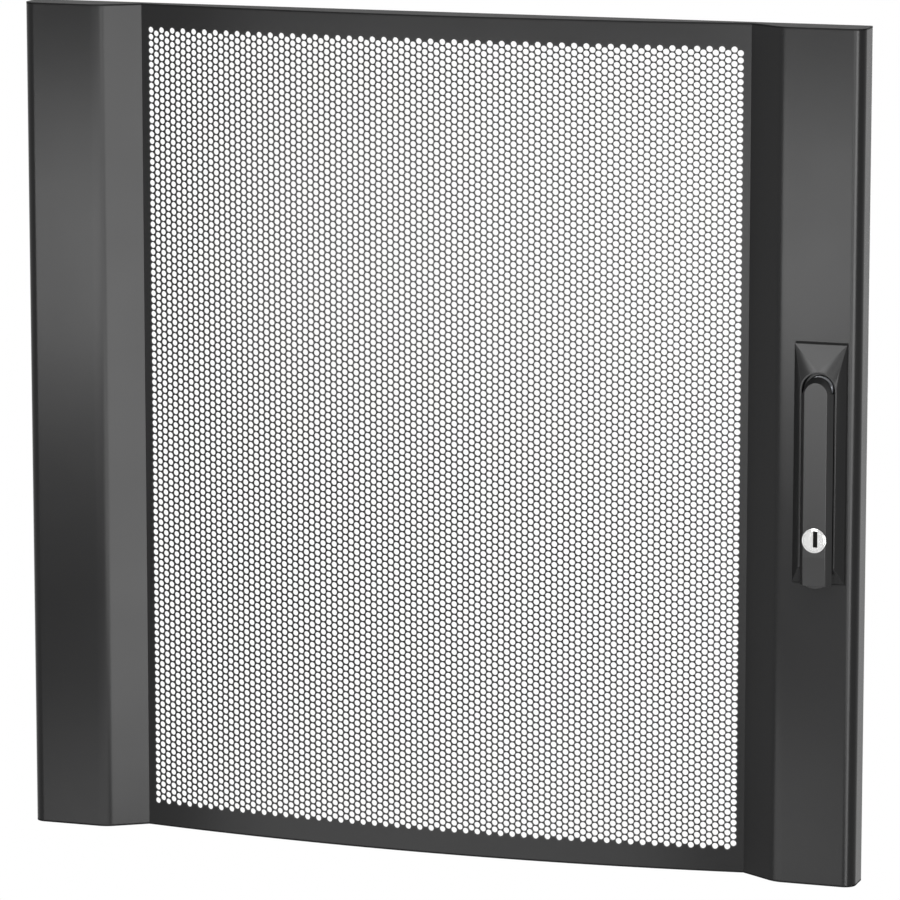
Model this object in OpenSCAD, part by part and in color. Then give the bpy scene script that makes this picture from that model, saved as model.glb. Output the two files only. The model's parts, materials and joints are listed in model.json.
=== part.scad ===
// Perforated door for a wall-mounted server rack: a bowed perforated sheet between two folded
// stiles, closed by end plates, with lift-off hinge pins at the left and a swing handle at the right.
// Door axes: X to the right, Y to the back, Z up. The origin is the shoulder of the lower hinge pin.

/* [Door] */
// Width over the two side faces
door_w = 600; // [560:5:760]
// Height over the end plates
door_h = 584; // [440:5:900]
// Depth from the front of the wings to the rear edge
door_d = 25; // [22:1:40]
// Thickness of the door's sheet steel
sheet_t = 1.2; // [1:0.1:1.5]

/* [Stiles] */
// Width of one stile, from its side face to the valley beside the perforated sheet
stile_w = 81.5; // [76:0.5:100]
// Outside radius of the stile's front corner
corner_r = 8; // [5:0.5:10]
// Angle at which the inner side of the stile falls back from the wing
bevel_angle = 33; // [28:1:38]
// Outside radius of the bend between the wing and the bevel
bend_r = 20; // [12:1:22]
// Depth of the valley behind the front of the wings
valley_d = 17.1; // [12:0.1:18]
// Width of the stile's return flange along the rear edge
return_w = 14; // [10:1:20]
// Outside radius of the bend into the return flange
return_r = 2.5; // [2:0.1:4]

/* [Perforated sheet] */
// How far the middle of the sheet stands forward of its two edges
sheet_rise = 16.4; // [8:0.1:18]
// Columns of holes across the sheet
hole_cols = 34; // [10:2:40]
// Holes in one column
hole_rows = 38; // [10:1:44]
// Hole diameter as a share of the distance between neighbouring holes
hole_share = 0.84; // [0.5:0.01:0.85]
// Plain margin between the holes and the valley
hole_margin = 5; // [3:0.5:20]
// Plain band between the holes and the ends of the door
band_h = 15.8; // [8:0.1:40]
// Width of the lap behind each stile
lap_w = 12; // [6:1:16]

/* [Hinges] */
// Distance of the pins' axis from the side face
pin_side = 11.5; // [10:0.5:16]
// Distance of the pins' axis from the rear edge
pin_rear = 9.5; // [9.5:0.5:12]
// Diameter of the hinge pins
pin_d = 8; // [6:0.5:10]
// Length of a hinge pin under its bracket
pin_len = 12; // [10:0.5:16]
// Height of each hinge from the nearer end of the door
hinge_inset = 60; // [50:5:120]
// Height of a hinge bracket
bracket_h = 42; // [40:1:60]
// Thickness of the hinge brackets
bracket_t = 3; // [2.5:0.5:4]
// Diameter of the hinge's weld studs
hinge_stud_d = 5; // [4:1:6]

/* [Handle housing] */
// Width of the housing
housing_w = 36.4; // [34:0.1:40]
// Distance of the handle's middle from the right side of the door
handle_inset = 26.8; // [26:0.1:32]
// Length of the housing
housing_len = 163; // [150:1:190]
// Height of the housing's middle above the bottom of the door
housing_z = 291; // [200:1:400]
// How far the housing's rim stands in front of the wing
housing_rise = 7; // [6.5:0.1:8]
// Distance from the housing's long edge to its rim
rim_inset = 5.6; // [4:0.1:6]
// Length of the sloping face above the rim
top_slope = 17.5; // [15:0.1:20]
// Length of the sloping face below the rim
bottom_slope = 11.8; // [10:0.1:14]
// Width of the trough behind the lever
trough_w = 22.7; // [22.3:0.1:23]
// Depth of the trough below the rim
trough_depth = 5.8; // [5:0.1:6]
// Thickness of the gasket under the housing
gasket_t = 0.6; // [0.4:0.1:1]
// How far the gasket stands back from the housing's outline
gasket_inset = 0.7; // [0.4:0.1:1.5]
// Thickness of the clamp plate behind the wing
clamp_t = 2; // [1.5:0.5:3]

/* [Lever] */
// Width of the lever at its back
lever_w = 22.2; // [21:0.1:22.4]
// Width of the lever's front face
lever_face_w = 15.8; // [14:0.1:17]
// Thickness of the lever
lever_t = 6; // [5.5:0.1:7]
// Open gap between the trough's round end and the lever's head
head_gap = 1.9; // [1.5:0.1:2.2]
// How far the front face's round end lies below the lever's head
face_drop = 2; // [1:0.1:2.5]
// Distance of the lever's shoulders below its pivot
shoulder_drop = 1.6; // [1:0.1:3]
// Gap between the rim and the back of the lever
lever_gap = 0.3; // [0.2:0.1:0.5]
// Length of the lower part of the lever that slopes back
grip_len = 20; // [16:0.5:24]
// How far the grip's lower end falls back
grip_fall = 1.6; // [0.5:0.1:2]
// Width of the rounded thumb lip at the lower end
lip_w = 12.5; // [8:0.5:15]
// How far the thumb lip stands out below the grip
lip_drop = 1.8; // [1:0.1:2.5]

/* [Spindle] */
// Diameter of the spindle
spindle_d = 10; // [8:0.5:12]
// Side of the spindle's square drive
drive_w = 6.8; // [5:0.1:8]
// Diameter of the spindle's thread
thread_d = 6; // [4:0.5:6.5]
// Diameter of the pin through the lever and the spindle
lever_pin_d = 2.5; // [2:0.1:3]
// Length of the latch cam from the spindle's axis
cam_len = 23.5; // [20:0.5:25]
// Width of the latch cam
cam_w = 18; // [15:0.5:20]
// Thickness of the latch cam
cam_t = 3; // [2:0.5:4]
// Distance of the latch cam behind the rear edge of the door
cam_set = 2.5; // [2:0.5:6]

/* [Lock] */
// Distance of the lock below the lever's pivot
lock_drop = 101; // [80:1:103]
// Diameter of the lock's body
lock_d = 16.6; // [15:0.1:16.8]
// Diameter of the lock's plug
plug_d = 14.2; // [12:0.1:14.4]
// Width of the key slot
slot_w = 2.6; // [2:0.1:3]
// Length of the key slot
slot_len = 10.4; // [8:0.1:10.6]

/* [Fits] */
// Running clearance round a pin or a spindle, on the radius
run_gap = 0.05; // [0.03:0.01:0.08]
// Clearance round a bolt, a stud or a boss, on the radius
bolt_gap = 0.2; // [0.1:0.05:0.4]

/* [Hidden] */

paint = [0.2, 0.2, 0.21];
cast_paint = [0.16, 0.16, 0.17];
zinc = [0.75, 0.76, 0.78];
polished = [0.86, 0.86, 0.87];
rubber = [0.08, 0.08, 0.08];

arc_steps = 20;
e = 1;

// Stile section, worked from the side face inwards
side_x = door_w / 2;
valley_x = side_x - stile_w;
bevel_back = [-cos(bevel_angle), sin(bevel_angle)];
bevel_in = [sin(bevel_angle), cos(bevel_angle)];
bend_x = valley_x + valley_d / tan(bevel_angle) + bend_r * tan(bevel_angle / 2);

// Bowed sheet: one flat facet for each column of holes
bow_r = (valley_x ^ 2 + sheet_rise ^ 2) / (2 * sheet_rise);
bow_y = valley_d - sheet_rise;
bow_c = [0, bow_y + bow_r];
edge_angle = asin(valley_x / bow_r);
field_w = 2 * bow_r * edge_angle * PI / 180 - 2 * hole_margin;
col_step = field_w / (hole_cols - 1 + hole_share * 2 / sqrt(3));
col_angle = col_step / bow_r * 180 / PI;
hole_pitch = col_step * 2 / sqrt(3);
hole_d = hole_share * hole_pitch;
row_step = (door_h - 2 * band_h - hole_d) / (hole_rows - 0.5);

// Hinges
pin_x = -side_x + pin_side;
pin_y = door_d - pin_rear;
lower_hinge_z = hinge_inset;
upper_hinge_z = door_h - hinge_inset - bracket_h;
bracket_w = 2 * (pin_rear - 3);
notch_below = 28;
notch_above = bracket_h + 6;
spigot_d = pin_d - 2;
rivet_h = 1.5;
stud_heights = [bracket_h * 0.38, bracket_h * 0.76];
hinge_nut_t = 4;
nut_af_share = 1.6;
nut_round = 2 / sqrt(3);

// Earthing stud and bumpers
ground_d = 6;
ground_washer_t = 1.6;
ground_nut_t = 5;
bumper_d = 9;
bumper_h = 2;

// Handle, from the wing's front forwards
handle_x = side_x - handle_inset;
housing_top = housing_z + housing_len / 2;
housing_bottom = housing_z - housing_len / 2;
rim_y = -housing_rise;
trough_y = rim_y + trough_depth;
rim_top_z = housing_top - top_slope;
rim_bottom_z = housing_bottom + bottom_slope;
trough_r = trough_w / 2;
trough_wall = 1.6;
trough_top_z = rim_top_z - trough_wall;
pivot_z = trough_top_z - trough_r;
head_r = trough_r - head_gap;
lever_back = rim_y - lever_gap;
lever_front = lever_back - lever_t;
pin_set = 2.7;
lever_pin_y = lever_back + pin_set;
shoulder_z = pivot_z - shoulder_drop;
face_top_z = pivot_z - face_drop;
grip_z = housing_bottom + grip_len;

// Spindle, from the trough backwards
boss_d = 24;
boss_end = 14;
bush_wall = 2;
seat_d = 18.4;
seat_t = 2.6;
ear_x = 4.1;
ear_t = 3.2;
ear_r = 2.3;
drive_y = door_d + cam_set;
washer_t = 1.4;
nut_t = 5;
clip_t = 1.1;
screw_d = 4;
screw_boss_d = 8;
screw_top_z = (trough_top_z + housing_top) / 2 - 2;
screw_bottom_z = housing_bottom + 20;
screw_head_t = 2.6;
screw_grip = 2.7;

// Lock
lock_z = pivot_z - lock_drop;
lock_front = lever_front - 0.2;
tongue_t = 0.9;
tongue_len = 8;
tongue_w = 6;
stem_d = 6;
lock_back = lever_back - tongue_t - 0.4;

// The frame of the whole door starts at the lower hinge pin's shoulder
module from_hinge() {
    translate([-pin_x, -pin_y, -lower_hinge_z]) children();
}

// Points of an arc in the plan of the door
function arc(c, r, a0, a1, steps = arc_steps) =
    [for (i = [0:steps]) c + r * [cos(a0 + (a1 - a0) * i / steps), sin(a0 + (a1 - a0) * i / steps)]];

// Where the line from p along d meets the line from q along k
function meet(p, d, q, k) =
    p + d * (((q - p)[0] * k[1] - (q - p)[1] * k[0]) / (d[0] * k[1] - d[1] * k[0]));

function flip(points) = [for (i = [len(points) - 1:-1:0]) [-points[i][0], points[i][1]]];
function back(points) = [for (i = [len(points) - 1:-1:0]) points[i]];

// Plan of the bowed sheet at a depth k behind its front, over the facets of the hole columns
function bow_point(angle, k) = bow_c + (bow_r - k) * [sin(angle), -cos(angle)];
function bow(k) = [for (i = [0:hole_cols]) bow_point((i - hole_cols / 2) * col_angle, k)];
function margin_line(k) =
    let (a = bow_point(hole_cols / 2 * col_angle, k), b = bow_point(edge_angle, k)) [a, b - a];

// Where the bevel's surface at depth k behind the front meets the sheet's surface at depth j
function bevel_start(k) = [valley_x, valley_d] + k * bevel_in;
function valley_point(k, j) =
    meet(bevel_start(k), bevel_back, margin_line(j)[0], margin_line(j)[1]);

// Plan of the stile's surface at a depth k behind its front, from the bevel round to the rear edge
function bend(k) = arc([bend_x, bend_r], bend_r - k, -90 - bevel_angle, -90);
function front_corner(k) = arc([side_x - corner_r, corner_r], corner_r - k, -90, 0);
function rear_corner(k) =
    arc([side_x - return_r, door_d - return_r], return_r - k, 0, 90, arc_steps / 2);
function stile_line(k) = concat(bend(k), front_corner(k), rear_corner(k));

module stile_section() {
    polygon(concat(
        [valley_point(0, 0)],
        stile_line(0),
        [[side_x - return_w, door_d], [side_x - return_w, door_d - sheet_t]],
        back(stile_line(sheet_t)),
        [valley_point(sheet_t, 0)]));
}

module stile() {
    translate([0, 0, sheet_t]) linear_extrude(door_h - 2 * sheet_t) stile_section();
}

module hinge_notch(z) {
    translate([-side_x + sheet_t, door_d - return_r, z - notch_below])
        cube([return_w, return_r + e, notch_below + notch_above]);
}

module hinge_stile() {
    color(paint) difference() {
        mirror([1, 0, 0]) stile();
        hinge_notch(lower_hinge_z);
        hinge_notch(upper_hinge_z);
    }
}

// A round hole or shaft along Y, from y0 to y1, on the handle's centre line
module along_y(d, y0, y1, z, x = handle_x, fn = 48) {
    translate([x, y1, z]) rotate([90, 0, 0]) cylinder(d = d, h = y1 - y0, $fn = fn);
}

module lock_stile() {
    color(paint) difference() {
        stile();
        along_y(boss_d + 2 * bolt_gap, -e, sheet_t + e, pivot_z);
        along_y(screw_boss_d + 2 * bolt_gap, -e, sheet_t + e, screw_top_z);
        along_y(screw_boss_d + 2 * bolt_gap, -e, sheet_t + e, screw_bottom_z);
    }
}

// Plan of the bowed sheet, with a lap behind each stile
module sheet_section() {
    lap_front = valley_point(sheet_t, 0);
    lap_rear = valley_point(2 * sheet_t, sheet_t);
    right = [lap_front, lap_front - lap_w * bevel_back];
    right_rear = [lap_rear - lap_w * bevel_back, lap_rear];
    polygon(concat(flip(right), bow(0), right, right_rear, back(bow(sheet_t)), flip(right_rear)));
}

module hole_column(i) {
    translate([bow_c[0], bow_c[1], 0]) rotate([0, 0, (i - (hole_cols - 1) / 2) * col_angle])
        translate([0, -bow_r - e, band_h + hole_d / 2 + (i % 2) * row_step / 2])
            for (j = [0:hole_rows - 1]) translate([0, 0, j * row_step])
                rotate([-90, 0, 0]) cylinder(d = hole_d, h = sheet_t + 2 * e, $fn = 24);
}

module perforated_sheet() {
    color(paint) difference() {
        translate([0, 0, sheet_t]) linear_extrude(door_h - 2 * sheet_t) sheet_section();
        for (i = [0:hole_cols - 1]) hole_column(i);
    }
}

// End plate with the plan of the whole front and a straight rear edge
module end_plate() {
    right = concat([valley_point(0, 0)], stile_line(0));
    color(paint) linear_extrude(sheet_t) polygon(concat(flip(right), bow(0), right));
}

module top_plate() {
    translate([0, 0, door_h - sheet_t]) end_plate();
}

module bottom_plate() {
    end_plate();
}

// Hinge bracket: a leg on the inside of the side face and a foot that carries the pin
module hinge_bracket(z) {
    leg_x = -side_x + sheet_t;
    color(zinc) translate([0, 0, z]) difference() {
        union() {
            translate([leg_x, pin_y - bracket_w / 2, 0]) cube([bracket_t, bracket_w, bracket_h]);
            translate([leg_x, pin_y - bracket_w / 2, 0])
                cube([pin_x - leg_x, bracket_w, bracket_t]);
            translate([pin_x, pin_y, 0]) cylinder(d = bracket_w, h = bracket_t, $fn = 48);
        }
        translate([pin_x, pin_y, -e])
            cylinder(d = spigot_d + 2 * run_gap, h = bracket_t + 2 * e, $fn = 48);
        for (h = stud_heights) translate([leg_x - e, pin_y, h]) rotate([0, 90, 0])
            cylinder(d = hinge_stud_d + 2 * bolt_gap, h = bracket_t + 2 * e, $fn = 32);
    }
}

module upper_hinge_bracket() {
    hinge_bracket(upper_hinge_z);
}

module lower_hinge_bracket() {
    hinge_bracket(lower_hinge_z);
}

// Shouldered pin: free end below the bracket, spigot through it and a riveted head on top
module hinge_pin(z) {
    tip = 1;
    color(zinc) translate([pin_x, pin_y, z]) {
        translate([0, 0, -pin_len + tip]) cylinder(d = pin_d, h = pin_len - tip, $fn = 48);
        translate([0, 0, -pin_len]) cylinder(d1 = pin_d - 2 * tip, d2 = pin_d, h = tip, $fn = 48);
        cylinder(d = spigot_d, h = bracket_t, $fn = 48);
        translate([0, 0, bracket_t]) cylinder(d = pin_d, h = rivet_h, $fn = 48);
    }
}

module upper_hinge_pin() {
    hinge_pin(upper_hinge_z);
}

module lower_hinge_pin() {
    hinge_pin(lower_hinge_z);
}

module at_hinge_studs() {
    for (z = [lower_hinge_z, upper_hinge_z], h = stud_heights)
        translate([-side_x + sheet_t, pin_y, z + h]) rotate([0, 90, 0]) children();
}

module hinge_weld_studs() {
    color(zinc) at_hinge_studs()
        cylinder(d = hinge_stud_d, h = bracket_t + hinge_nut_t + 1.5, $fn = 32);
}

// Hexagon nut standing on z = 0 with its hole along Z
module nut(d, t) {
    difference() {
        cylinder(d = nut_af_share * d * nut_round, h = t, $fn = 6);
        translate([0, 0, -e]) cylinder(d = d + 2 * run_gap, h = t + 2 * e, $fn = 32);
    }
}

module hinge_nuts() {
    color(zinc) at_hinge_studs() translate([0, 0, bracket_t]) nut(hinge_stud_d, hinge_nut_t);
}

// Earthing stud behind the left wing
module at_ground_stud(y) {
    translate([-side_x + stile_w * 0.38, sheet_t + y, hinge_inset * 0.55])
        rotate([-90, 0, 0]) children();
}

module ground_stud() {
    color(zinc) at_ground_stud(0)
        cylinder(d = ground_d, h = ground_washer_t + ground_nut_t + 5, $fn = 32);
}

module ground_washer() {
    color(zinc) at_ground_stud(0) difference() {
        cylinder(d = 2 * ground_d, h = ground_washer_t, $fn = 48);
        translate([0, 0, -e])
            cylinder(d = ground_d + 2 * bolt_gap, h = ground_washer_t + 2 * e, $fn = 32);
    }
}

module ground_nut() {
    color(zinc) at_ground_stud(ground_washer_t) nut(ground_d, ground_nut_t);
}

// Rubber bumpers on the lock stile's return flange
module door_bumpers() {
    for (z = [hinge_inset, door_h - hinge_inset])
        color(rubber) translate([side_x - return_w / 2 - 1, door_d, z]) rotate([-90, 0, 0])
            cylinder(d1 = bumper_d, d2 = bumper_d - 2, h = bumper_h, $fn = 48);
}

// Slab of a given outline in the door's XZ plane, from y0 to y1
module slab(y0, y1) {
    translate([0, y1, 0]) rotate([90, 0, 0]) linear_extrude(y1 - y0) children();
}

// Outline of the housing's rim, with cut corners above the lever
module rim_outline() {
    half = housing_w / 2 - rim_inset;
    cut = half / 3;
    translate([handle_x, 0]) polygon([
        [-half, rim_bottom_z], [half, rim_bottom_z], [half, rim_top_z - 2 * cut],
        [half - cut, rim_top_z], [-half + cut, rim_top_z], [-half, rim_top_z - 2 * cut]]);
}

module housing_form() {
    thin = 0.01;
    hull() {
        slab(-gasket_t - thin, -gasket_t) translate([handle_x - housing_w / 2, housing_bottom])
            square([housing_w, housing_len]);
        slab(rim_y, rim_y + thin) rim_outline();
    }
}

module trough() {
    slab(rim_y - e, trough_y) union() {
        translate([handle_x, trough_top_z - trough_r]) circle(r = trough_r, $fn = 64);
        translate([handle_x - trough_r, rim_bottom_z - e])
            square([trough_w, trough_top_z - trough_r - rim_bottom_z + e]);
    }
}

module handle_housing() {
    color(cast_paint) difference() {
        union() {
            difference() {
                housing_form();
                trough();
            }
            along_y(boss_d, -gasket_t, boss_end, pivot_z);
            along_y(screw_boss_d, -gasket_t, sheet_t, screw_top_z);
            along_y(screw_boss_d, trough_y - screw_grip, sheet_t, screw_bottom_z);
        }
        along_y(seat_d, trough_y - e, trough_y + seat_t, pivot_z);
        along_y(spindle_d + 2 * bush_wall + 4 * run_gap, trough_y, boss_end + e, pivot_z);
        along_y(screw_d + 2 * run_gap, -screw_grip, sheet_t + e, screw_top_z);
        along_y(screw_d + 2 * run_gap, -screw_grip, sheet_t + e, screw_bottom_z);
    }
}

module screw_holes(y0, y1, d) {
    along_y(d, y0, y1, screw_top_z);
    along_y(d, y0, y1, screw_bottom_z);
}

module housing_gasket() {
    color(rubber) difference() {
        slab(-gasket_t, 0)
            translate([handle_x - housing_w / 2 + gasket_inset, housing_bottom + gasket_inset])
                square([housing_w - 2 * gasket_inset, housing_len - 2 * gasket_inset]);
        along_y(boss_d + 2 * bolt_gap, -gasket_t - e, e, pivot_z);
        screw_holes(-gasket_t - e, e, screw_boss_d + 2 * bolt_gap);
    }
}

module housing_clamp_plate() {
    plate_w = boss_d + 8;
    color(zinc) difference() {
        slab(sheet_t, sheet_t + clamp_t)
            translate([handle_x - plate_w / 2, screw_bottom_z - 8])
                square([plate_w, screw_top_z - screw_bottom_z + 16]);
        along_y(boss_d + 2 * bolt_gap, 0, sheet_t + clamp_t + e, pivot_z);
        screw_holes(0, sheet_t + clamp_t + e, screw_d + 2 * bolt_gap);
    }
}

// Pan-head screws from behind, through the clamp plate into the housing
module housing_screws() {
    seat_y = sheet_t + clamp_t;
    for (z = [screw_top_z, screw_bottom_z]) color(zinc) difference() {
        union() {
            along_y(screw_d, -screw_grip + 0.3, seat_y, z, fn = 32);
            along_y(2 * screw_d, seat_y, seat_y + screw_head_t, z);
        }
        translate([handle_x, seat_y + screw_head_t + e, z]) rotate([90, 0, 0])
            cylinder(d = 3, h = e + 1.5, $fn = 6);
    }
}

module spindle_bush() {
    color(zinc) difference() {
        along_y(spindle_d + 2 * bush_wall + 2 * run_gap, trough_y + seat_t, boss_end, pivot_z);
        along_y(spindle_d + 2 * run_gap, trough_y, boss_end + e, pivot_z);
    }
}

// Spindle: two ears for the lever's pin, a disc, the shaft, a square drive and a thread
module handle_spindle() {
    thread_end = drive_y + cam_t + washer_t + nut_t + 1;
    disc_back = trough_y + seat_t - 0.1;
    color(zinc) difference() {
        union() {
            along_y(seat_d - 0.6, trough_y, disc_back, pivot_z);
            for (side = [-1, 1]) spindle_ear(side);
            along_y(spindle_d, trough_y, drive_y, pivot_z);
            translate([handle_x - drive_w / 2, drive_y - e, pivot_z - drive_w / 2])
                cube([drive_w, cam_t + e, drive_w]);
            along_y(thread_d, drive_y, thread_end, pivot_z, fn = 32);
        }
        along_x(lever_pin_d + 2 * run_gap, 2 * (ear_x + ear_t + e));
        difference() {
            along_y(spindle_d + 2, boss_end + 0.1, boss_end + 0.3 + clip_t, pivot_z);
            along_y(spindle_d - 1.6, boss_end - e, boss_end + e + clip_t, pivot_z);
        }
    }
}

// A round bar along X, centred on the lever's pivot
module along_x(d, length) {
    translate([handle_x - length / 2, lever_pin_y, pivot_z]) rotate([0, 90, 0])
        cylinder(d = d, h = length, $fn = 32);
}

module spindle_ear(side) {
    x0 = handle_x + side * (ear_x + ear_t / 2) - ear_t / 2;
    translate([x0, lever_pin_y, pivot_z]) rotate([0, 90, 0])
        cylinder(r = ear_r, h = ear_t, $fn = 32);
    translate([x0, lever_pin_y, pivot_z - ear_r])
        cube([ear_t, trough_y - lever_pin_y + seat_t / 2, 2 * ear_r]);
}

module spindle_clip() {
    color(zinc) difference() {
        along_y(spindle_d + 5, boss_end + 0.15, boss_end + 0.15 + clip_t, pivot_z);
        along_y(spindle_d - 1.6 + 2 * run_gap, boss_end, boss_end + e + clip_t, pivot_z);
        translate([handle_x - 3, boss_end, pivot_z - spindle_d])
            cube([6, clip_t + e, spindle_d]);
    }
}

module lever_pivot_pin() {
    color(zinc) along_x(lever_pin_d, 2 * (ear_x + ear_t));
}

// Latch cam: points at the lock side of the rack when the lever hangs down
module latch_cam() {
    color(zinc) difference() {
        union() {
            along_y(cam_w, drive_y, drive_y + cam_t, pivot_z);
            translate([handle_x, drive_y, pivot_z - cam_w / 2])
                cube([cam_len, cam_t, cam_w]);
        }
        translate([handle_x - drive_w / 2 - run_gap, drive_y - e, pivot_z - drive_w / 2 - run_gap])
            cube([drive_w + 2 * run_gap, cam_t + 2 * e, drive_w + 2 * run_gap]);
    }
}

module cam_washer() {
    color(zinc) difference() {
        along_y(cam_w - 4, drive_y + cam_t, drive_y + cam_t + washer_t, pivot_z);
        along_y(thread_d + 2 * bolt_gap, drive_y, drive_y + cam_t + washer_t + e, pivot_z);
    }
}

module cam_nut() {
    color(zinc) translate([handle_x, drive_y + cam_t + washer_t, pivot_z]) rotate([-90, 0, 0])
        nut(thread_d, nut_t);
}

// Outline of the lever: a round end of radius r at height z1, and sides w apart from z0 up to z2
module lever_outline(r, w, z0, z1, z2) {
    translate([handle_x, z1]) circle(r = r, $fn = 48);
    translate([handle_x - w / 2, z0]) square([w, z2 - z0]);
}

// Tapered bar whose front face falls back along the grip
module lever_form() {
    thin = 0.01;
    grip_front = lever_front + grip_fall;
    hull() {
        slab(lever_back - thin, lever_back)
            lever_outline(head_r, lever_w, housing_bottom, pivot_z, shoulder_z);
        slab(lever_front, lever_front + thin)
            lever_outline(lever_face_w / 2, lever_face_w, grip_z, face_top_z, face_top_z);
        translate([handle_x - lever_face_w / 2, grip_front, housing_bottom])
            cube([lever_face_w, thin, thin]);
    }
}

// What is cut away beside the head, so that it swings into the trough when the lever lifts
module head_sides() {
    slab(lever_front - e, lever_back + e) difference() {
        translate([handle_x - lever_w, shoulder_z]) square([2 * lever_w, 2 * trough_r]);
        translate([handle_x, pivot_z]) circle(r = head_r + 0.2, $fn = 64);
    }
}

// Thumb lip: the lower part of a disc that stands out below the grip
module thumb_lip() {
    lip_r = (lip_w ^ 2 / 4 + lip_drop ^ 2) / (2 * lip_drop);
    lip_front = lever_front + grip_fall + 0.4;
    intersection() {
        along_y(2 * lip_r, lip_front, lever_back - 0.6, housing_bottom - lip_drop + lip_r);
        translate([handle_x - lip_w / 2, lip_front - e, housing_bottom - lip_drop - e])
            cube([lip_w, lever_t + e, lip_drop + 2 * e]);
    }
}

module handle_lever() {
    lug_w = 2 * ear_x - 0.2;
    color(cast_paint) difference() {
        union() {
            difference() {
                lever_form();
                head_sides();
            }
            thumb_lip();
            translate([handle_x - lug_w / 2, lever_back - e, pivot_z - ear_r])
                cube([lug_w, lever_pin_y - lever_back + e, 2 * ear_r]);
            translate([handle_x - lug_w / 2, lever_pin_y, pivot_z]) rotate([0, 90, 0])
                cylinder(r = ear_r, h = lug_w, $fn = 32);
        }
        along_x(lever_pin_d + 2 * run_gap, lug_w + 2 * e);
        along_y(lock_d + 2 * run_gap, lever_front - e, lever_back + e, lock_z);
        along_y(2 * tongue_len + 1, lock_back, lever_back + e, lock_z);
    }
}

module lock_body() {
    color(polished) difference() {
        along_y(lock_d, lock_front, lock_back, lock_z);
        along_y(plug_d + 2 * run_gap, lock_front - e, lock_back - 1, lock_z);
        along_y(stem_d + 2 * run_gap, lock_front - e, lock_back + e, lock_z);
    }
}

module lock_plug() {
    slot_shift = 0.9;
    slot_depth = 2.6;
    color(polished) difference() {
        union() {
            along_y(plug_d, lock_front, lock_back - 1.05, lock_z);
            along_y(stem_d, lock_front + slot_depth, lever_back, lock_z);
        }
        translate([handle_x + slot_shift - slot_w / 2, lock_front - e,
            lock_z + slot_shift - slot_len / 2]) cube([slot_w, e + slot_depth, slot_len]);
    }
}

// Tongue on the plug's stem, in its pocket in the lever's back
module lock_tongue() {
    color(zinc) difference() {
        union() {
            along_y(stem_d + 4, lever_back - tongue_t, lever_back, lock_z);
            translate([handle_x - tongue_w / 2, lever_back - tongue_t, lock_z - tongue_len + 1])
                cube([tongue_w, tongue_t, tongue_len - 1]);
        }
        along_y(stem_d + 2 * run_gap, lever_back - tongue_t - e, lever_back + e, lock_z);
    }
}

from_hinge() perforated_sheet();
from_hinge() hinge_stile();
from_hinge() lock_stile();
from_hinge() top_plate();
from_hinge() bottom_plate();
from_hinge() upper_hinge_bracket();
from_hinge() lower_hinge_bracket();
from_hinge() upper_hinge_pin();
from_hinge() lower_hinge_pin();
from_hinge() hinge_weld_studs();
from_hinge() hinge_nuts();
from_hinge() ground_stud();
from_hinge() ground_washer();
from_hinge() ground_nut();
from_hinge() door_bumpers();
from_hinge() handle_housing();
from_hinge() housing_gasket();
from_hinge() housing_clamp_plate();
from_hinge() housing_screws();
from_hinge() spindle_bush();
from_hinge() handle_spindle();
from_hinge() spindle_clip();
from_hinge() lever_pivot_pin();
from_hinge() latch_cam();
from_hinge() cam_washer();
from_hinge() cam_nut();
from_hinge() handle_lever();
from_hinge() lock_body();
from_hinge() lock_plug();
from_hinge() lock_tongue();
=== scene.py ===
# %% [markdown]
# # A perforated rack door
# The door is a bowed sheet full of small holes between two folded stiles, with a swing handle on
# the right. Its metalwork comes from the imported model. This file adds what that model leaves plain:
# the fine holes of the sheet, the cast handle, the lock, the threads and the finishes.

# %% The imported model
import json
import math

import bmesh
import bpy
from mathutils import Matrix, Vector


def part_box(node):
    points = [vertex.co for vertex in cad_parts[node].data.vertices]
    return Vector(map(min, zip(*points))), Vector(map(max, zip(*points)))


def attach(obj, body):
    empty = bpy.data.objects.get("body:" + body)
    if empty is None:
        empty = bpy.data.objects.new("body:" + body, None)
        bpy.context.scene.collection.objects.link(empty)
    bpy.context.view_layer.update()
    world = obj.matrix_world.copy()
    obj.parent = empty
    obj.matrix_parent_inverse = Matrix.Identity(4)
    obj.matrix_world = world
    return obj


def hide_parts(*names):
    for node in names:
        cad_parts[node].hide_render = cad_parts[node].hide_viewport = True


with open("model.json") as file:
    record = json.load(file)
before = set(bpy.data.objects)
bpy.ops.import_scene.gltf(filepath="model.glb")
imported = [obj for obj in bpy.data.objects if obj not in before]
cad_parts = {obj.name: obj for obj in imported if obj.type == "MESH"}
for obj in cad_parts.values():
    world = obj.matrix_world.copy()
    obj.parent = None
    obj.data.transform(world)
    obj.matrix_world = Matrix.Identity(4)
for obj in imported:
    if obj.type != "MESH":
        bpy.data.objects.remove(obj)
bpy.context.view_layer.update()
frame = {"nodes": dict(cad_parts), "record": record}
nodes = frame["nodes"]
MM = 0.001

# %% [markdown]
# ## Where things are
# Sizes could be typed in once more, but then the looks would drift from the metalwork when a size
# changes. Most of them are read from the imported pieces' own boxes instead. The end plates give the
# door's height, and the stiles give the middle of the door and the plane of its front.

# %% Sizes of the door
top_plate_low, top_plate_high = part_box("top_plate")
bottom_plate_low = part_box("bottom_plate")[0]
hinge_stile_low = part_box("hinge_stile")[0]
lock_stile_low, lock_stile_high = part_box("lock_stile")
sheet_t = top_plate_high.z - top_plate_low.z
door_top = top_plate_high.z
door_bottom = bottom_plate_low.z
door_h = door_top - door_bottom
wing_y = lock_stile_low.y
door_x = (hinge_stile_low.x + lock_stile_high.x) / 2
print("door height", round(door_h / MM, 1), "mm, sheet", round(sheet_t / MM, 2), "mm")

# %% Small helpers for meshes
stand_up = Matrix.Rotation(math.pi / 2, 3, "X")


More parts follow.
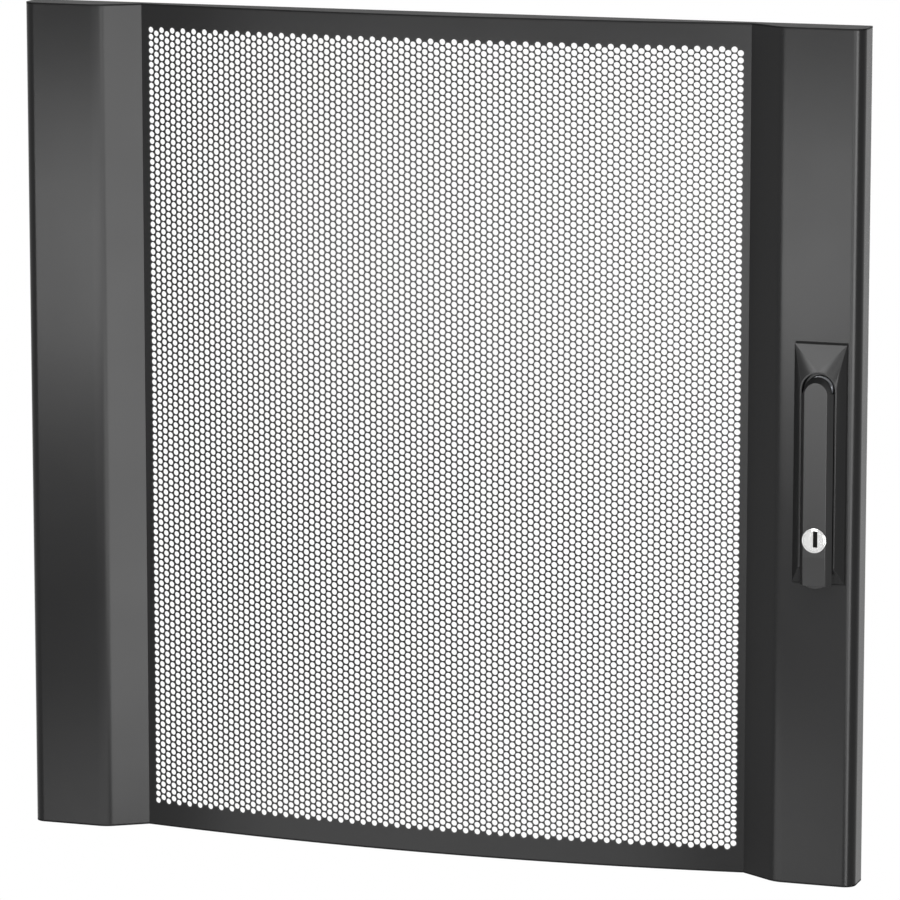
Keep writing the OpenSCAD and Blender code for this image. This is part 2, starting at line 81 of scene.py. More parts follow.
def mesh_object(name, bm):
    """Turns a bmesh into an object at the origin and returns it."""
    mesh = bpy.data.meshes.new(name)
    bm.to_mesh(mesh)
    bm.free()
    piece = bpy.data.objects.new(name, mesh)
    bpy.context.scene.collection.objects.link(piece)
    return piece


def apply_modifiers(piece):
    """Makes the piece's modifiers part of its mesh."""
    graph = bpy.context.evaluated_depsgraph_get()
    mesh = bpy.data.meshes.new_from_object(piece.evaluated_get(graph))
    piece.modifiers.clear()
    piece.data = mesh


def triangles(piece):
    """The number of triangles in a piece."""
    return sum(len(p.vertices) - 2 for p in piece.data.polygons)


# %% Small helpers for sheet metal
def upright_rectangle(bm, x0, x1, z0, z1, y=0):
    """Adds an upright rectangle that faces the front."""
    made = bmesh.ops.create_grid(bm, x_segments=1, y_segments=1, size=0.5)
    bmesh.ops.scale(bm, vec=(x1 - x0, z1 - z0, 1), verts=made["verts"])
    bmesh.ops.rotate(bm, matrix=stand_up, verts=made["verts"])
    bmesh.ops.translate(bm, vec=((x0 + x1) / 2, y, (z0 + z1) / 2), verts=made["verts"])


def face_front(bm):
    """Turns all faces of an open sheet to the front."""
    bmesh.ops.recalc_face_normals(bm, faces=bm.faces)
    bm.faces.ensure_lookup_table()
    if bm.faces[0].normal.y > 0:
        bmesh.ops.reverse_faces(bm, faces=bm.faces)


def thicken(piece, thickness, offset, even=False):
    """Gives an open sheet its wall: offset -1 builds it backwards and 1 forwards."""
    wall = piece.modifiers.new("wall", "SOLIDIFY")
    wall.thickness = thickness
    wall.offset = offset
    wall.use_even_offset = even
    apply_modifiers(piece)


# %% [markdown]
# ## The perforated sheet
# The real sheet is punched with 102 columns of round holes, each column half a pitch higher or
# lower than its neighbours, and then rolled to a bow. Cutting more than eleven thousand holes with
# Booleans would take far too long. One cell, a rectangle with a twelve-sided hole, is repeated by
# two Array modifiers instead. Each of four bands is made flat, thickened and then bent to the bow,
# as the real sheet is, and four bands keep every piece light enough.

# %% Sizes of the sheet
valley_depth = 17.1 * MM
bow_rise = 16.4 * MM
valley_half = 218.5 * MM
bow_radius = (valley_half ** 2 + bow_rise ** 2) / (2 * bow_rise)
bow_front = wing_y + valley_depth - bow_rise
hole_pitch = 4.85 * MM
column_step = hole_pitch * math.sqrt(3) / 2
hole_radius = 2.07 * MM
hole_sides = 12
columns = 102
rows = 114
left_edge = -columns / 2 * column_step
field_bottom = (door_bottom + door_top) / 2 - (rows - 1) * hole_pitch / 2
print("bow radius", round(bow_radius / MM), "mm;", columns * rows - columns // 2, "holes")


# %% One cell of the sheet, with its hole
def hole_cell():
    """A rectangle with a round hole, upright at the origin, as a bmesh."""
    bm = bmesh.new()
    bmesh.ops.create_grid(bm, x_segments=1, y_segments=2, size=0.5)
    bmesh.ops.scale(bm, vec=(column_step, hole_pitch, 1), verts=bm.verts)
    bmesh.ops.delete(bm, geom=bm.faces[:], context="FACES_ONLY")
    cross = [edge for edge in bm.edges if all(abs(v.co.y) < 1e-6 for v in edge.verts)]
    bmesh.ops.delete(bm, geom=cross, context="EDGES")
    # A slightly larger polygon has the same open area as the round hole.
    even_area = math.sqrt(math.pi / (hole_sides / 2 * math.sin(math.tau / hole_sides)))
    bmesh.ops.create_circle(
        bm, segments=hole_sides, radius=hole_radius * even_area,
        matrix=Matrix.Rotation(math.pi / hole_sides, 4, "Z"))
    bmesh.ops.triangle_fill(bm, use_beauty=True, use_dissolve=False, edges=bm.edges[:])
    bmesh.ops.rotate(bm, matrix=stand_up, verts=bm.verts)
    bmesh.ops.recalc_face_normals(bm, faces=bm.faces)
    return bm


# %% Columns of cells
def repeat(piece, count, offset):
    """Adds an Array modifier that repeats the piece along a fixed offset."""
    array = piece.modifiers.new("repeat", "ARRAY")
    array.count = count
    array.use_relative_offset = False
    array.use_constant_offset = True
    array.constant_offset_displace = offset


def parity_shift(column):
    """Every second column starts half a pitch higher."""
    return hole_pitch / 2 if column % 2 else 0


def hole_columns(first, count, parity):
    """Every second column of a band, as one flat piece."""
    start = first + (first + parity) % 2
    copies = len(range(start, first + count, 2))
    cell = hole_cell()
    x = left_edge + (start + 0.5) * column_step
    z = field_bottom + parity_shift(start)
    bmesh.ops.translate(cell, vec=(x, 0, z), verts=cell.verts)
    part = mesh_object("cell", cell)
    repeat(part, rows - start % 2, (0, 0, hole_pitch))
    repeat(part, copies, (2 * column_step, 0, 0))
    apply_modifiers(part)
    return part


def add_plain_ends(bm, column):
    """Adds the plain strips below and above the holes of one column."""
    x0 = left_edge + column * column_step
    low = field_bottom - hole_pitch / 2
    high = field_bottom + (rows - 0.5) * hole_pitch
    low_heights = [door_bottom + sheet_t, low]
    high_heights = [high, door_top - sheet_t]
    if column % 2:
        low_heights.append(low + hole_pitch / 2)
        high_heights.insert(0, high - hole_pitch / 2)
    for heights in (low_heights, high_heights):
        for z0, z1 in zip(heights, heights[1:]):
            upright_rectangle(bm, x0, x0 + column_step, z0, z1)


# %% Bands of columns
def bend_to_bow(mesh):
    """Bends a flat mesh round the bow: its X is the way along the bow, its Y the depth."""
    for vertex in mesh.vertices:
        angle = vertex.co.x / bow_radius
        radius = bow_radius - vertex.co.y
        vertex.co.x = door_x + radius * math.sin(angle)
        vertex.co.y = bow_front + bow_radius - radius * math.cos(angle)


def sheet_band(number, first, count):
    """One band of the sheet, from column first on, thickened and bent."""
    bm = bmesh.new()
    for part in [hole_columns(first, count, parity) for parity in (0, 1)]:
        bm.from_mesh(part.data)
        bpy.data.objects.remove(part)
    for column in range(first, first + count):
        add_plain_ends(bm, column)
    bmesh.ops.remove_doubles(bm, verts=bm.verts, dist=0.01 * MM)
    face_front(bm)
    band = mesh_object(f"perforated_band_{number}", bm)
    thicken(band, sheet_t, -1)
    bend_to_bow(band.data)
    return band


bands = []
band_starts = [0, 26, 51, 77, columns]
for number, (first, last) in enumerate(zip(band_starts, band_starts[1:]), 1):
    band = sheet_band(number, first, last - first)
    bands.append(band)
    print(band.name, triangles(band), "triangles")

# %% [markdown]
# ## Plain margins of the sheet
# Beside the holes the real sheet has a plain margin, and behind each stile it is folded forward as
# a lap that is welded to the stile. A box bent with modifiers could stand for it, but a fold is
# clearer as a path: an upright edge is extruded from point to point and the strip is thickened.

# %% Margins and laps
bevel_angle = math.radians(33)
lap_w = 12 * MM
fold_out = 1.79 * MM
fold_back = 0.267 * MM
field_edge = columns / 2 * column_step


def on_bow(distance):
    """The point on the bow at a distance from its middle, seen from above."""
    angle = distance / bow_radius
    return Vector(
        (bow_radius * math.sin(angle), bow_front + bow_radius * (1 - math.cos(angle)), 0))


def sheet_margin(name, side):
    """The plain strip between the holes and the lap behind one stile."""
    fold = Vector((valley_half + fold_out, wing_y + valley_depth + fold_back, 0))
    lap = fold + lap_w * Vector((math.cos(bevel_angle), -math.sin(bevel_angle), 0))
    bm = bmesh.new()
    here = on_bow(field_edge)
    heights = (door_bottom + sheet_t, door_top - sheet_t)
    ends = [bm.verts.new((here.x, here.y, z)) for z in heights]
    edges = [bm.edges.new(ends)]
    for target in (fold, lap):
        made = bmesh.ops.extrude_edge_only(bm, edges=edges)
        moved = [g for g in made["geom"] if isinstance(g, bmesh.types.BMVert)]
        bmesh.ops.translate(bm, vec=target - here, verts=moved)
        edges = [g for g in made["geom"]
                 if isinstance(g, bmesh.types.BMEdge) and all(v in moved for v in g.verts)]
        here = target
    bmesh.ops.scale(bm, vec=(side, 1, 1), verts=bm.verts)
    bmesh.ops.translate(bm, vec=(door_x, 0, 0), verts=bm.verts)
    face_front(bm)
    margin = mesh_object(name, bm)
    thicken(margin, sheet_t, -1, even=True)
    print(name, triangles(margin), "triangles")
    return margin


margins = [sheet_margin("sheet_margin_left", -1), sheet_margin("sheet_margin_right", 1)]
for piece in bands + margins:
    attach(piece, "door")
    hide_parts("perforated_sheet")

# %% [markdown]
# ## The cast handle
# The housing and the lever are zinc castings under a thin coat, so none of their edges is truly
# sharp, and the round is what catches the light along the rim and the head. Rebuilding the castings
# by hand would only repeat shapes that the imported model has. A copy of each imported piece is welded
# into a closed mesh instead, and a Bevel modifier rounds its sharp edges.

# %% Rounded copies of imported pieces
weld_gap = 0.02 * MM
sharp_angle = math.radians(12)


def welded_copy(node, weld=weld_gap):
    """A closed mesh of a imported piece, with its flat faces whole again."""
    bm = bmesh.new()
    bm.from_mesh(nodes[node].data)
    bmesh.ops.remove_doubles(bm, verts=bm.verts, dist=weld)
    bmesh.ops.dissolve_limit(
        bm, angle_limit=math.radians(0.5), use_dissolve_boundaries=False,
        verts=bm.verts, edges=bm.edges)
    return bm


def rounded_copy(name, node, width, weld=weld_gap, reshape=None):
    """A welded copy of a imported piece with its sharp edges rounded."""
    bm = welded_copy(node, weld)
    if reshape:
        reshape(bm)
    piece = mesh_object(name, bm)
    piece.data.shade_smooth()
    edge = piece.modifiers.new("rounded edges", "BEVEL")
    edge.limit_method = "ANGLE"
    edge.angle_limit = math.radians(22)
    edge.width = width
    edge.segments = 2
    edge.profile = 0.5
    edge.use_clamp_overlap = False
    apply_modifiers(piece)
    piece.data.set_sharp_from_angle(angle=sharp_angle)
    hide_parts(node)
    print(name, triangles(piece), "triangles")
    return piece


# %% Where the handle is
housing_low, housing_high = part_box("handle_housing")
lever_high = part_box("handle_lever")[1]
handle_x = (housing_low.x + housing_high.x) / 2
rim_y = housing_low.y
pivot_below_head = 9.45 * MM
pivot_z = lever_high.z - pivot_below_head
rim_radius = 12.6 * MM
print("handle's middle at x", round(handle_x / MM, 1), "mm, pivot at z",
      round(pivot_z / MM, 1), "mm")


# %% A round arch for the rim
rim_reach = 0.6 * MM
long_edge = 60 * MM
arch_cuts = 7


def on_rim(vertex):
    """True for a point of the rim, the housing's foremost outline."""
    out = math.hypot(vertex.co.x - handle_x, vertex.co.z - pivot_z)
    return abs(vertex.co.y - rim_y) < weld_gap and out > rim_radius - rim_reach


def split_long_sides(bm):
    """Adds a point at pivot height to the rim's two long sides, where the arch will start."""
    outline = [e for e in bm.edges if all(on_rim(v) for v in e.verts)]
    sides = [e for e in outline
             if e.calc_length() > long_edge and max(v.co.z for v in e.verts) > pivot_z]
    for edge in sides:
        made = bmesh.ops.subdivide_edges(bm, edges=[edge], cuts=1)
        for vertex in made["geom_inner"]:
            if isinstance(vertex, bmesh.types.BMVert):
                vertex.co.z = pivot_z


def fan_to_corner(bm, foot, side):
    """Joins the arch's points on one side to the housing's top corner on that side."""
    behind = [v for v in bm.verts
              if (v.co.x - handle_x) * side > 10 * MM and v.co.y > rim_y + 3 * MM]
    corner = max(behind, key=lambda v: (round(v.co.z / MM, 1), -v.co.y))
    for vertex in foot:
        if (vertex.co.x - handle_x) * side >= -0.01 * MM:
            bmesh.ops.connect_verts(bm, verts=[corner, vertex])


def round_the_rim(bm):
    """Moves the rim's cut corners onto a round arch, joined to the top corners by fans."""
    split_long_sides(bm)
    arch = [e for e in bm.edges
            if all(on_rim(v) and v.co.z > pivot_z + 1 * MM for v in e.verts)]
    bmesh.ops.subdivide_edges(bm, edges=arch, cuts=arch_cuts)
    arch_verts = [v for v in bm.verts if on_rim(v) and v.co.z > pivot_z + 0.1 * MM]
    for vertex in arch_verts:
        out = Vector((vertex.co.x - handle_x, 0, vertex.co.z - pivot_z)).normalized()
        vertex.co.x = handle_x + rim_radius * out.x
        vertex.co.z = pivot_z + rim_radius * out.z
    foot = [v for v in bm.verts if on_rim(v) and v.co.z > pivot_z - 0.1 * MM]
    for side in (-1, 1):
        fan_to_corner(bm, foot, side)
    print("rim:", len(arch_verts), "points on the arch")


# %% Housing and lever
housing = rounded_copy("housing_casting", "handle_housing", 0.3 * MM, reshape=round_the_rim)
lever = rounded_copy("lever_casting", "handle_lever", 0.35 * MM, weld=0.12 * MM)
for piece, body in ((housing, "door"), (lever, "lever")):
    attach(piece, body)

# %% [markdown]
# ## The lock
# A cam lock's front is a plated ring with a turning plug inside. Both have a small chamfer that
# shows as a bright edge. The keyway could be left as a plain hole, but it looks black because it
# is deep and lies in shade. So a dark plate just behind the face paints that shade, and it turns
# with the plug.

# %% Sizes of the lock
lock_low, lock_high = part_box("lock_body")
plug_low, plug_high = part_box("lock_plug")
lock_middle = (lock_low + lock_high) / 2
lock_radius = (lock_high.x - lock_low.x) / 2
plug_radius = (plug_high.x - plug_low.x) / 2
keyway_w = 2.6 * MM
keyway_h = 10.4 * MM
keyway_shift = 0.9 * MM
keyway_edge = 0.25 * MM
keyway_middle = lock_middle + Vector((keyway_shift, 0, keyway_shift))
print("lock", round(2 * lock_radius / MM, 1), "mm across, its face at y",
      round(lock_low.y / MM, 1), "mm")


# %% Lock ring and plug
def front_rim(bm, radius):
    """The edges on the lock's face that lie on a circle of the given radius."""
    rim = []
    for edge in bm.edges:
        ends = [v.co for v in edge.verts]
        in_front = all(abs(c.y - lock_low.y) < 0.01 * MM for c in ends)
        out = [math.hypot(c.x - lock_middle.x, c.z - lock_middle.z) for c in ends]
        if in_front and all(abs(r - radius) < 0.1 * MM for r in out):
            rim.append(edge)
    return rim


def widen_keyway(bm):
    """Moves the keyway's corners a little outwards and returns how many it found."""
    slot = [v for v in bm.verts
            if abs(abs(v.co.x - keyway_middle.x) - keyway_w / 2) < weld_gap
            and abs(abs(v.co.z - keyway_middle.z) - keyway_h / 2) < weld_gap]
    bmesh.ops.scale(
        bm, vec=(1 + 2 * keyway_edge / keyway_w, 1, 1 + 2 * keyway_edge / keyway_h), verts=slot,
        space=Matrix.Translation(-keyway_middle))
    return len(slot)


def chamfered_face(name, node, radius, width):
    """A welded copy of a lock piece whose outer front edge is chamfered."""
    bm = welded_copy(node)
    rim = front_rim(bm, radius)
    bmesh.ops.bevel(
        bm, geom=rim, offset=width, segments=2, profile=0.5, affect="EDGES", material=-1)
    moved = widen_keyway(bm)
    piece = mesh_object(name, bm)
    piece.data.shade_smooth()
    piece.data.set_sharp_from_angle(angle=sharp_angle)
    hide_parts(node)
    print(name, len(rim), "edges chamfered,", moved, "keyway corners moved")
    return piece


lock_ring = chamfered_face("lock_ring", "lock_body", lock_radius, 0.1 * MM)
plug_face = chamfered_face("plug_face", "lock_plug", plug_radius, 0.12 * MM)
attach(lock_ring, "lever")
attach(plug_face, "plug")

# %% Keyway shade plate, painted shade
# A near-black plate just behind the face paints the shade deep in the keyway.
shade_plate_t = 0.8 * MM
shade_plate_y = lock_low.y + 0.46 * MM
shade_plate_edge = 1.9 * keyway_edge
bm = bmesh.new()
bmesh.ops.create_cube(bm, size=1.0)
shade_plate_size = (keyway_w + shade_plate_edge, shade_plate_t, keyway_h + shade_plate_edge)
bmesh.ops.scale(bm, vec=shade_plate_size, verts=bm.verts)
bmesh.ops.translate(bm, vec=(keyway_middle.x, shade_plate_y, keyway_middle.z), verts=bm.verts)
bmesh.ops.bevel(
    bm, geom=bm.edges[:], offset=0.06 * MM, segments=1, profile=0.5, affect="EDGES", material=-1)
shade_plate = mesh_object("keyway_shade_plate", bm)
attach(shade_plate, "plug")
print("keyway shade plate", triangles(shade_plate), "triangles")

# %% [markdown]
# ## Gasket and its shadow lip
# A thin rubber gasket lies between the housing and the door. Its black lip is made to stand out by
# about a millimetre above the housing and less at its right side and below it, where it paints the
# thin line of shade and contact shadow along the housing's edges. A swept lip profile would be truer,
# but only the outer edge is ever seen, so a flat slab with a window is enough.

# %% Gasket with its lip, which paints the shadow line round the housing
gasket_low, gasket_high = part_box("housing_gasket")
housing_middle = (housing_low + housing_high) / 2
# The lip's overhang beyond the housing paints the shadow line; the rest of the slab is the real
# gasket.
shadow_lip_top = 1.3 * MM
shadow_lip_right = 0.55 * MM
shadow_lip_bottom = 0.5 * MM
gasket_band = 4 * MM
gasket_play = 0.05 * MM
bm = bmesh.new()
upright_rectangle(
    bm, gasket_low.x, housing_high.x + shadow_lip_right, housing_low.z - shadow_lip_bottom,
    housing_high.z + shadow_lip_top, y=gasket_high.y - gasket_play)
bmesh.ops.inset_individual(
    bm, faces=bm.faces[:], thickness=gasket_band, depth=0, use_even_offset=True)
middle_face = min(bm.faces, key=lambda f: (f.calc_center_median() - housing_middle).length)
bmesh.ops.delete(bm, geom=[middle_face], context="FACES_ONLY")
face_front(bm)
gasket = mesh_object("gasket_shadow_lip", bm)
thicken(gasket, gasket_high.y - gasket_low.y - 2 * gasket_play, 1)
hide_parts("housing_gasket")
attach(gasket, "door")
print("gasket shadow lip", triangles(gasket), "triangles")

# %% [markdown]
# ## Hinges, latch and fasteners
# The plated and painted small pieces are stamped or turned, so their edges are slightly broken too.
# Modelling each one anew would add nothing, so each is a rounded copy on the body of its own node.

# %% Small pieces with broken edges, widths in millimetres
edge_of_node = {
    "upper_hinge_bracket": 0.3, "lower_hinge_bracket": 0.3, "upper_hinge_pin": 0.3,
    "lower_hinge_pin": 0.3, "hinge_nuts": 0.2, "ground_washer": 0.15, "ground_nut": 0.25,
    "door_bumpers": 0.6, "housing_clamp_plate": 0.3, "housing_screws": 0.25, "latch_cam": 0.35,
    "cam_washer": 0.15, "cam_nut": 0.3, "spindle_bush": 0.25,
}
subparts = {part["node"]: part for part in frame["record"]["subparts"]}
body_members = frame["record"]["behaviour"]["bodies"]
body_of_node = {node: body for body, members in body_members.items() for node in members}
small_pieces = []
for node, edge_w in edge_of_node.items():
    piece = rounded_copy(node + "_edges", node, edge_w * MM)
    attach(piece, body_of_node[node])
    small_pieces.append((piece, subparts[node]["material_slot"]))

# %% [markdown]
# ## Threaded studs
# The hinge brackets and the earthing nut sit on weld studs with a thread. A true helix needs many
# faces and hides its start and end badly. A zigzag edge that is spun round the stud gives rings,
# which look the same at this size and cost far fewer faces.


# %% Where the studs are
def stud_boxes(node):
    """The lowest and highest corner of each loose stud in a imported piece."""
    bm = bmesh.new()
    bm.from_mesh(nodes[node].data)
    bmesh.ops.remove_doubles(bm, verts=bm.verts, dist=weld_gap)
    left = set(bm.verts)
    boxes = []
    while left:
        reached = [left.pop()]
        for vertex in reached:
            for edge in vertex.link_edges:
                other = edge.other_vert(vertex)
                if other in left:
                    left.remove(other)
                    reached.append(other)
        corners = [[v.co[i] for v in reached] for i in range(3)]
        boxes.append((Vector([min(c) for c in corners]), Vector([max(c) for c in corners])))
    bm.free()
    return boxes


# %% Studs with their threads
thread_steps = 20


def thread_outline(radius, length, pitch):
    """The half outline of a threaded stud, from the middle of one end to that of the other."""
    depth = 0.45 * pitch
    outline = [Vector((0, 0, 0)), Vector((radius, 0, 0))]
    for turn in range(int(length / pitch)):
        outline.append(Vector((radius - depth, (turn + 0.5) * pitch, 0)))
        outline.append(Vector((radius, (turn + 1) * pitch, 0)))
    outline[-1] = Vector((radius - depth, length, 0))
    outline.append(Vector((0, length, 0)))
    return outline


def threaded_studs(name, node, pitch):
    """Studs along Y with a spun zigzag thread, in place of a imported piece's plain ones."""
    bm = bmesh.new()
    for low, high in stud_boxes(node):
        base = Vector(((low.x + high.x) / 2, low.y, (low.z + high.z) / 2))
        outline = thread_outline((high.x - low.x) / 2, high.y - low.y, pitch)
        ends = [bm.verts.new(base + point) for point in outline]
        edges = [bm.edges.new(pair) for pair in zip(ends, ends[1:])]
        bmesh.ops.spin(
            bm, geom=ends + edges, cent=base, axis=(0, 1, 0), angle=math.tau,
            steps=thread_steps, use_merge=True)
    bmesh.ops.remove_doubles(bm, verts=bm.verts, dist=0.001 * MM)
    bmesh.ops.recalc_face_normals(bm, faces=bm.faces)
    piece = mesh_object(name, bm)
    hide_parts(node)
    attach(piece, body_of_node[node])
    print(name, triangles(piece), "triangles")
    return piece


weld_studs = threaded_studs("weld_studs_thread", "hinge_weld_studs", 0.7 * MM)
earth_stud = threaded_studs("earth_stud_thread", "ground_stud", 1.0 * MM)
small_pieces += [(weld_studs, "zinc_plate"), (earth_stud, "zinc_plate"), (gasket, "rubber")]

# %% [markdown]
# ## Finishes
# The steel has a black satin powder coat. An image of the coat would show its tiles on a sheet
# this large, so the grain is procedural: a fine bump and a slight change of colour and roughness,
# all read from Object coordinates, so that the grain sits still when a piece moves. The castings
# have the same coat with a finer grain, the end plates a duller one and the lever a glossier one.
# Rubber and the painted shade of the keyway use the same recipe with hardly any gloss.


# %% Building blocks for the finishes
def new_material(name):
    """A material with its node tree and its Principled shader."""
    material = bpy.data.materials.new(name)
    material.use_nodes = True
    tree = material.node_tree
    return material, tree, tree.nodes["Principled BSDF"]


def add_noise(tree, place, scale, detail=2):
    """A noise of the given scale, read from a place on the piece."""
    noise = tree.nodes.new("ShaderNodeTexNoise")
    noise.inputs["Scale"].default_value = scale
    noise.inputs["Detail"].default_value = detail
    tree.links.new(place, noise.inputs["Vector"])
    return noise.outputs["Fac"]


def vary_color(tree, shader, factor, color, low, high):
    """Lets the colour run from low to high times its own value."""
    tone = tree.nodes.new("ShaderNodeMix")
    tone.data_type = "RGBA"
    tone.inputs["A"].default_value = (*[c * low for c in color], 1)
    tone.inputs["B"].default_value = (*[c * high for c in color], 1)
    tree.links.new(factor, tone.inputs["Factor"])
    tree.links.new(tone.outputs["Result"], shader.inputs["Base Color"])


def vary_roughness(tree, shader, factor, roughness, spread):
    """Lets the roughness run a little below and above its own value."""
    gloss = tree.nodes.new("ShaderNodeMapRange")
    gloss.inputs["To Min"].default_value = roughness - spread
    gloss.inputs["To Max"].default_value = roughness + spread
    tree.links.new(factor, gloss.inputs["Value"])
    tree.links.new(gloss.outputs["Result"], shader.inputs["Roughness"])


# %% Coats and rubber
cloud_scale = 14
bump_strength = 0.35


def coat_material(name, color, roughness, grain_size, grain_height, gloss_level=0.15):
    """Satin coat with a fine grain of the given size and height, in metres."""
    material, tree, shader = new_material(name)
    shader.inputs["Metallic"].default_value = 0.0
    shader.inputs["Specular IOR Level"].default_value = gloss_level
    place = tree.nodes.new("ShaderNodeTexCoord").outputs["Object"]
    grain = add_noise(tree, place, 1 / grain_size, detail=3)
    cloud = add_noise(tree, place, cloud_scale)
    vary_color(tree, shader, grain, color, 0.9, 1.1)
    vary_roughness(tree, shader, cloud, roughness, 0.04)
    bump = tree.nodes.new("ShaderNodeBump")
    bump.inputs["Strength"].default_value = bump_strength
    bump.inputs["Distance"].default_value = grain_height
    tree.links.new(grain, bump.inputs["Height"])
    tree.links.new(bump.outputs["Normal"], shader.inputs["Normal"])
    return material


coat_black = (0.005, 0.005, 0.0051)
grip_black = (0.006, 0.006, 0.0061)
powder_coat = coat_material("powder coat", coat_black, 0.23, 1.5 * MM, 0.07 * MM)
cast_coat = coat_material("cast coat", coat_black, 0.25, 0.5 * MM, 0.03 * MM)
plate_coat = coat_material(
    "plate coat", coat_black, 0.45, 1.5 * MM, 0.07 * MM, gloss_level=0.04)
grip_coat = coat_material("grip coat", grip_black, 0.3, 0.5 * MM, 0.02 * MM, gloss_level=0.23)
rubber = coat_material("rubber", (0.006, 0.006, 0.006), 0.8, 1 * MM, 0.02 * MM, gloss_level=0.03)
# Near-black, nearly matt paint for the plate that paints the keyway's shade.
keyway_painted_shade = coat_material(
    "keyway painted shade", (0.003, 0.003, 0.003), 0.7, 0.4 * MM, 0.01 * MM, gloss_level=0.03)
coats = (powder_coat, cast_coat, plate_coat, grip_coat, rubber, keyway_painted_shade)
print("coats:", [coat.name for coat in coats])

# %% [markdown]
# ## Plated metal
# The hardware behind the door is zinc plated and the lock is nickel plated. A metal of one even
# colour would look like a mirror, so the colour and the roughness of both follow a faint grain that
# is squeezed along Z. The rest of a bright plate's look comes from what it mirrors.

# %% Zinc and nickel
brush_stretch = 12
brush_scale = 600


def metal_material(name, color, roughness):
    """Plated steel with a faint brushed grain."""
    material, tree, shader = new_material(name)
    shader.inputs["Metallic"].default_value = 1.0
    place = tree.nodes.new("ShaderNodeTexCoord").outputs["Object"]
    brush = tree.nodes.new("ShaderNodeMapping")
    brush.inputs["Scale"].default_value = (1, 1, brush_stretch)
    tree.links.new(place, brush.inputs["Vector"])
    grain = add_noise(tree, brush.outputs["Vector"], brush_scale)
    vary_color(tree, shader, grain, color, 0.88, 1)
    vary_roughness(tree, shader, grain, roughness, 0.06)
    return material


zinc_plate = metal_material("zinc plate", (0.42, 0.43, 0.45), 0.35)
lock_nickel = metal_material("lock nickel", (0.68, 0.68, 0.675), 0.12)
finish_of_slot = {
    "powder_coat": powder_coat,
    "cast_coat": cast_coat,
    "lock_nickel": lock_nickel,
    "zinc_plate": zinc_plate,
    "rubber": rubber,
}
print("finishes for", len(finish_of_slot), "slots")

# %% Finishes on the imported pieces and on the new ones
for part in frame["record"]["subparts"]:
    piece = nodes[part["node"]]
    piece.data.materials.clear()
    piece.data.materials.append(finish_of_slot[part["material_slot"]])
for node in ("top_plate", "bottom_plate"):
    nodes[node].data.materials[0] = plate_coat
finish_of_piece = [(piece, powder_coat) for piece in bands + margins]
finish_of_piece += [(housing, cast_coat), (lever, grip_coat)]
finish_of_piece += [(lock_ring, lock_nickel), (plug_face, lock_nickel), (shade_plate, keyway_painted_shade)]
finish_of_piece += [(piece, finish_of_slot[slot]) for piece, slot in small_pieces]
for piece, finish in finish_of_piece:
    piece.data.materials.clear()
    piece.data.materials.append(finish)
print(len(finish_of_piece), "new pieces finished")

# %% [markdown]
# ## The studio
# The door hangs above a plain pale floor in a white surround. The surround could be lit as a
# backdrop, but that would wash out a black coat. It is white only for what the camera, mirrors and
# glass see, and it lights the door faintly.

# %% Floor
floor_drop = 0.35
bm = bmesh.new()
bmesh.ops.create_grid(bm, x_segments=1, y_segments=1, size=1.0)
bmesh.ops.scale(bm, vec=(1.2, 0.9, 1), verts=bm.verts)
bmesh.ops.translate(bm, vec=(door_x, 0, door_bottom - floor_drop), verts=bm.verts)
floor = mesh_object("floor", bm)
floor_paint, _, floor_shader = new_material("floor paint")
floor_shader.inputs["Base Color"].default_value = (0.85, 0.85, 0.85, 1)
floor_shader.inputs["Roughness"].default_value = 0.9
floor.data.materials.append(floor_paint)
print("floor", round(floor_drop, 2), "m below the door")

# %% White surround
world = bpy.data.worlds.new("studio")
bpy.context.scene.world = world
world.use_nodes = True
tree = world.node_tree
surround = tree.nodes["Background"]
surround.inputs["Color"].default_value = (1, 1, 1, 1)
surround.inputs["Strength"].default_value = 0.12
white = tree.nodes.new("ShaderNodeBackground")
white.inputs["Color"].default_value = (1, 1, 1, 1)
white.inputs["Strength"].default_value = 1.0
path = tree.nodes.new("ShaderNodeLightPath")
seen = path.outputs["Is Camera Ray"]
for ray in ("Is Glossy Ray", "Is Transmission Ray"):
    either = tree.nodes.new("ShaderNodeMath")
    either.operation = "ADD"
    either.use_clamp = True
    tree.links.new(seen, either.inputs[0])
    tree.links.new(path.outputs[ray], either.inputs[1])
    seen = either.outputs["Value"]
choice = tree.nodes.new("ShaderNodeMixShader")
tree.links.new(seen, choice.inputs["Fac"])
tree.links.new(surround.outputs["Background"], choice.inputs[1])
tree.links.new(white.outputs["Background"], choice.inputs[2])
tree.links.new(choice.outputs["Shader"], tree.nodes["World Output"].inputs["Surface"])
print("surround lights with", round(surround.inputs["Strength"].default_value, 2))

# %% [markdown]
# ## Lamps
# A satin black coat shows little but the lamps it mirrors, so their places matter more than their
# power. One large lamp would light every face alike. Strips set where each group of faces mirrors
# them give the soft bands instead: three across the front for the wings, the key and the corner
# strip for the bevels and the folded edges, and one close by for the right side. One lamp stands
# overhead and one behind, for the end plates and the rear.
#
# Their powers are a weak point. At the front they give about two and a half times the light at
# which a mid grey renders as it is written, and the coats are darker and duller than real ones to
# make up for it. Under other light the coats' colour and gloss have to go up.

# %% Soft lamps
door_middle = Vector((door_x, wing_y, (door_top + door_bottom) / 2))


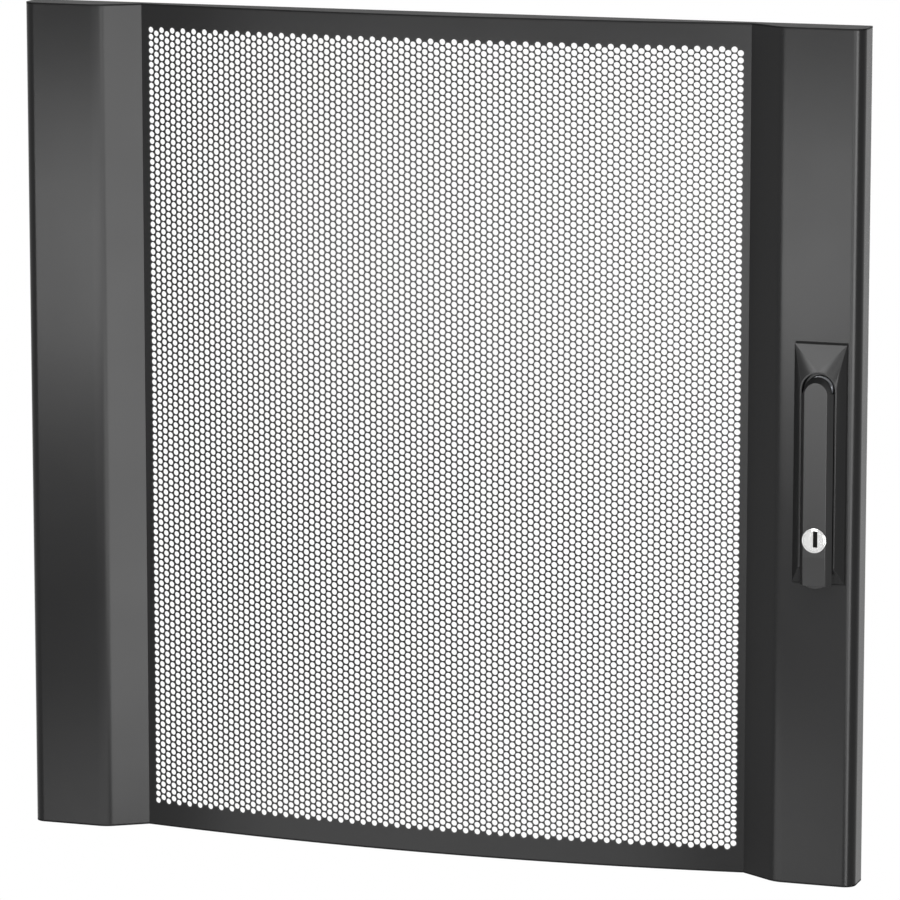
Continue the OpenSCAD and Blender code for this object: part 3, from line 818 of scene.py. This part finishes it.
def soft_lamp(name, offset, width, height, power):
    """A rectangular lamp at an offset from the door's middle, aimed at it."""
    lamp = bpy.data.lights.new(name, "AREA")
    lamp.shape = "RECTANGLE"
    lamp.size = width
    lamp.size_y = height
    lamp.energy = power
    lamp_object = bpy.data.objects.new(name, lamp)
    bpy.context.scene.collection.objects.link(lamp_object)
    lamp_object.location = door_middle + Vector(offset)
    lamp_object.rotation_euler = Vector(offset).to_track_quat("Z", "Y").to_euler()
    lamp_object.visible_camera = False
    print(name, "of", power, "W")


soft_lamp("front strip", (-0.30, -1.20, -0.04), 1.15, 0.25, 10.2)
soft_lamp("low strip", (-0.25, -0.80, -0.50), 0.8, 0.2, 1.9)
soft_lamp("high strip", (-0.09, -1.27, 0.66), 0.75, 0.36, 13.6)
soft_lamp("key", (0.98, -1.26, -0.25), 0.5, 1.0, 17.6)
soft_lamp("corner strip", (0.48, -1.40, 0.0), 0.3, 1.0, 7.6)
soft_lamp("close right", (0.75, -0.55, 0.15), 0.2, 0.5, 3)
soft_lamp("overhead", (0.30, 0.40, 1.35), 0.6, 0.5, 12)
soft_lamp("behind", (-0.1, 1.8, 0.0), 0.9, 0.7, 8)

# %% [markdown]
# ## Camera
# The door is seen from the right and a little from above. A short lens close by would spread its
# sides, so a long lens stands well away and keeps the stiles almost parallel. Yaw and pitch turn
# the camera, and its place is measured from the middle of the door's foot.

# %% Camera
camera_yaw = math.radians(18.265)
camera_pitch = math.radians(10.19)
camera_place = Vector((1.1568, -3.4683, 0.9424))
camera_data = bpy.data.cameras.new("camera")
camera_data.lens = 216.5
camera_data.sensor_width = 36
camera_data.clip_end = 50
camera = bpy.data.objects.new("camera", camera_data)
bpy.context.scene.collection.objects.link(camera)
bpy.context.scene.camera = camera
door_foot = Vector((door_x, wing_y, door_bottom))
camera.location = door_foot + camera_place
camera.rotation_euler = (math.pi / 2 - camera_pitch, 0, camera_yaw)
print("camera", round(camera_place.length, 2), "m from the door's foot")

# %% [markdown]
# ## Finish
# The Standard view adds no tone curve to the colours.

# %% The look of the render
bpy.context.scene.view_settings.view_transform = "Standard"
